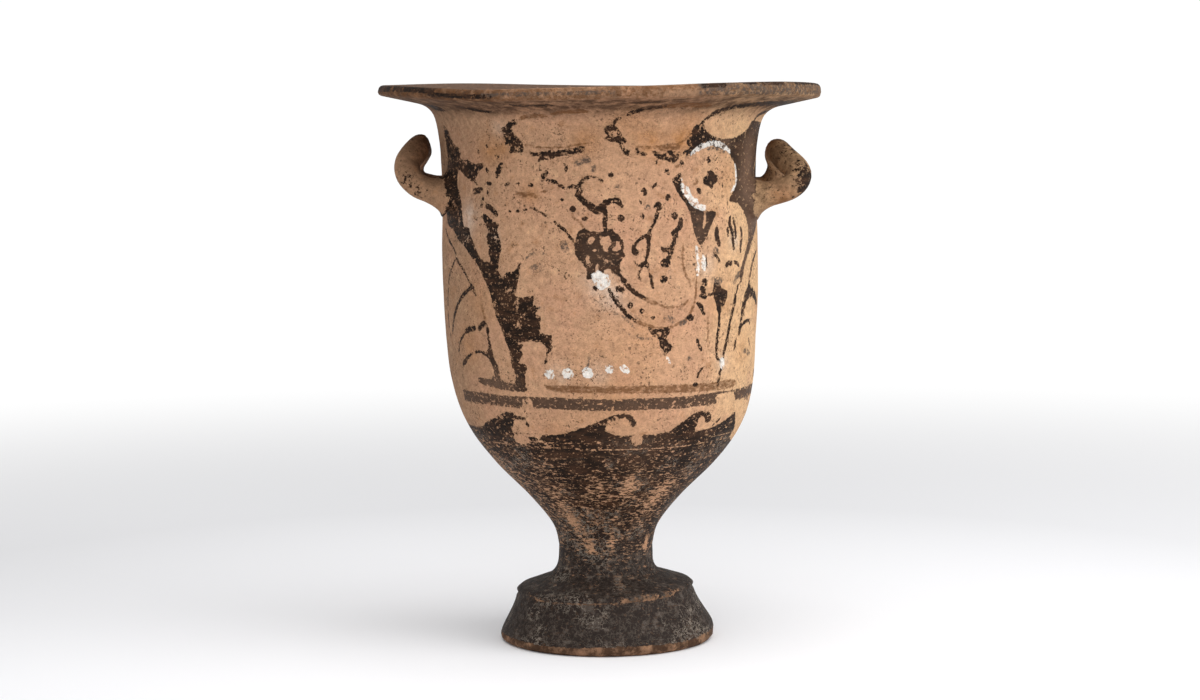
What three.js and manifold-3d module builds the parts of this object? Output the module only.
// A bell krater of fired clay: wide lip, bell-shaped bowl, two upturned loop handles, stem and moulded foot.
// Potted, joined and fired as one, so it is one solid. Millimetres, +Z up. The origin is the middle of the
// resting ring, the handles lie along X, and the picture side faces -Y.
import * as THREE from 'three';
import { mergeVertices } from 'three/addons/utils/BufferGeometryUtils.js';
import Module from 'manifold-3d';

// Heights above the table
const height = 380;
const lipEdgeHeight = 7.5;
const neckHeight = 350;
const bellyHeight = 268;
const stemHeight = 65;
const discHeight = 36;
const grooveHeight = 32.4;
const bowlFloorHeight = 90;
const footHollowHeight = 56;

// Radii
const lipRadius = 151.5;
const neckRadius = 109.3;
const waistRadius = 106.8;
const bellyRadius = 107.8;
const stemRadius = 31.4;
const discRadius = 61;
const footRadius = 73.2;
const restingRadius = 69.5;
const ringWidth = 13;

const wallThickness = 7;
const grooveDepth = 0.9;

// Handles: a round coil that widens into the wall at both roots
const coilRadius = 9;
const rootFillet = 16;
const filletStart = 5;
const rootSpread = 36;
const rootHeight = 300;
const handleReach = 132.5;
const handleTop = 346;

const turns = 56;
const coilSides = 12;
const coilSteps = 34;

function toVectors(points) {
  return points.map(([r, z]) => new THREE.Vector2(r, z));
}

// Outer wall of the bowl from the stem up to the lip, as radius and height
function bowlWall() {
  return new THREE.SplineCurve(toVectors([
    [stemRadius, stemHeight],
    [35.4, 80],
    [50.9, 100],
    [75.1, 125],
    [92.4, 150],
    [102.5, 180],
    [106.4, 220],
    [bellyRadius, bellyHeight],
    [waistRadius, 310],
    [107.5, 335],
    [neckRadius, neckHeight],
  ])).getPoints(18);
}

// Resting ring, rounded edge, sloping side, thin groove and the disc that carries the stem
function footWall() {
  const foot = new THREE.Path();
  foot.moveTo(restingRadius, 0);
  foot.quadraticCurveTo(footRadius + 0.8, 1.2, footRadius, 5);
  foot.bezierCurveTo(footRadius - 0.5, 10, 62.8, 22, discRadius + 0.3, grooveHeight - 1);
  foot.lineTo(discRadius - grooveDepth, grooveHeight);
  foot.lineTo(discRadius + 0.2, grooveHeight + 1);
  foot.quadraticCurveTo(discRadius + 0.6, discHeight, discRadius - 2.5, discHeight + 0.6);
  foot.lineTo(42, 42.4);
  foot.quadraticCurveTo(33, 45.5, stemRadius + 0.5, 56);
  return foot.getPoints(3);
}

// Underside of the lip, its upright edge and the face that falls towards the mouth
function lipWall() {
  const lip = new THREE.Path();
  const under = height - lipEdgeHeight;
  lip.moveTo(112.9, 360);
  lip.quadraticCurveTo(116.5, 365.5, 124, 367.2);
  lip.lineTo(lipRadius - 2.5, under);
  lip.quadraticCurveTo(lipRadius + 0.6, under + 1, lipRadius, under + 3.5);
  lip.quadraticCurveTo(lipRadius - 0.4, height, lipRadius - 4, height);
  lip.quadraticCurveTo(126, 376.5, 113, 369);
  lip.quadraticCurveTo(105, 363.5, neckRadius - wallThickness, neckHeight);
  return lip.getPoints(3);
}

// The bowl's wall moved inwards by a depth, from the neck down to where the floor begins
function insetWall(depth) {
  const outer = bowlWall();
  const inset = [];
  for (let i = outer.length - 2; i > 0; i -= 2) {
    const along = outer[i + 1].clone().sub(outer[i - 1]).normalize();
    const inner = new THREE.Vector2(outer[i].x - along.y * depth, outer[i].y + along.x * depth);
    if (inner.y > bowlFloorHeight + 16) {
      inset.push(inner);
    }
  }
  return inset;
}

// Hollow under the foot, from its top on the axis down to the resting ring
function footHollow() {
  const hollow = new THREE.Path();
  hollow.moveTo(0, footHollowHeight);
  hollow.quadraticCurveTo(17, footHollowHeight, 19, 44);
  hollow.quadraticCurveTo(24, 29, 44, 23);
  hollow.quadraticCurveTo(restingRadius - ringWidth, 17, restingRadius - ringWidth, 0);
  return hollow.getPoints(3);
}

function turned(profile) {
  return new THREE.LatheGeometry(profile, turns).rotateX(Math.PI / 2);
}

function turnedBody() {
  const floor = toVectors([[26, bowlFloorHeight + 5], [0, bowlFloorHeight]]);
  return turned([...footHollow(), ...footWall(), ...bowlWall(), ...lipWall(), ...insetWall(wallThickness), ...floor]);
}

// Centre line of one handle: out from the wall, up, and back in over the top; side is 1 or -1
function handleLine(side) {
  const top = handleTop - coilRadius;
  const half = [
    [86, rootSpread - 5, rootHeight - 3],
    [104, rootSpread, rootHeight],
    [117, rootSpread + 2, rootHeight + 5],
    [128, rootSpread, rootHeight + 11.5],
    [handleReach, rootSpread - 8, top - 15],
    [129.5, 17, top - 6],
    [126, 8, top - 1],
  ];
  const back = half.map(([x, y, z]) => [x, -y, z]).reverse();
  const line = [...half, [125, 0, top], ...back];
  return new THREE.CatmullRomCurve3(line.map(([x, y, z]) => new THREE.Vector3(side * x, y, z)));
}

// Radius of the coil: near the wall it widens along a circle that reaches the wall at about 45 degrees
function coilRadiusAt(centre) {
  const fromStart = Math.hypot(centre.x, centre.y) - waistRadius + filletStart;
  const toGo = THREE.MathUtils.clamp(rootFillet - fromStart, 0, rootFillet);
  return coilRadius + rootFillet - Math.sqrt(rootFillet ** 2 - toGo ** 2);
}

// A round coil carried along the centre line, closed at both ends
function handle(side) {
  const line = handleLine(side);
  const frames = line.computeFrenetFrames(coilSteps);
  const vertices = [];
  for (let i = 0; i <= coilSteps; i++) {
    const centre = line.getPointAt(i / coilSteps);
    const radius = coilRadiusAt(centre);
    for (let j = 0; j < coilSides; j++) {
      const angle = (j / coilSides) * 2 * Math.PI;
      const across = frames.normals[i].clone().multiplyScalar(radius * Math.cos(angle));
      const over = frames.binormals[i].clone().multiplyScalar(radius * Math.sin(angle));
      vertices.push(...centre.clone().add(across).add(over).toArray());
    }
  }
  const faces = [];
  const last = coilSteps * coilSides;
  for (let j = 0; j < coilSides; j++) {
    const next = (j + 1) % coilSides;
    for (let here = 0; here < last; here += coilSides) {
      const ahead = here + coilSides;
      faces.push(here + j, here + next, ahead + next, here + j, ahead + next, ahead + j);
    }
    if (j > 0 && j < coilSides - 1) {
      faces.push(0, j + 1, j, last, last + j, last + j + 1);
    }
  }
  const geometry = new THREE.BufferGeometry();
  geometry.setAttribute('position', new THREE.Float32BufferAttribute(vertices, 3));
  geometry.setIndex(faces);
  return geometry;
}

const wasm = await Module();
wasm.setup();

function toSolid(geometry) {
  const bare = geometry.clone();
  bare.deleteAttribute('normal');
  bare.deleteAttribute('uv');
  const merged = mergeVertices(bare, 1e-4);
  return new wasm.Manifold(new wasm.Mesh({
    numProp: 3,
    vertProperties: merged.attributes.position.array,
    triVerts: new Uint32Array(merged.index.array),
  }));
}

function toGeometry(solid) {
  const mesh = solid.getMesh();
  const geometry = new THREE.BufferGeometry();
  geometry.setAttribute('position', new THREE.BufferAttribute(mesh.vertProperties, 3));
  geometry.setIndex(new THREE.BufferAttribute(mesh.triVerts, 1));
  geometry.computeVertexNormals();
  return geometry;
}

// Each handle is cut off inside the thickness of the wall, then joined to the turned body
function krater() {
  const middle = insetWall(wallThickness / 2).reverse();
  const first = middle[0].y;
  const last = middle[middle.length - 1].y;
  const room = turned([...toVectors([[0, first]]), ...middle, ...toVectors([[0, last]])]);
  const handles = toSolid(handle(1)).add(toSolid(handle(-1)));
  return toGeometry(toSolid(turnedBody()).add(handles.subtract(toSolid(room))));
}

const firedClay = new THREE.MeshStandardMaterial({ color: 0xb98f6e, roughness: 0.7, metalness: 0 });

const group = new THREE.Group();
const vessel = new THREE.Mesh(krater(), firedClay);
vessel.name = 'krater';
group.add(vessel);

export default group;
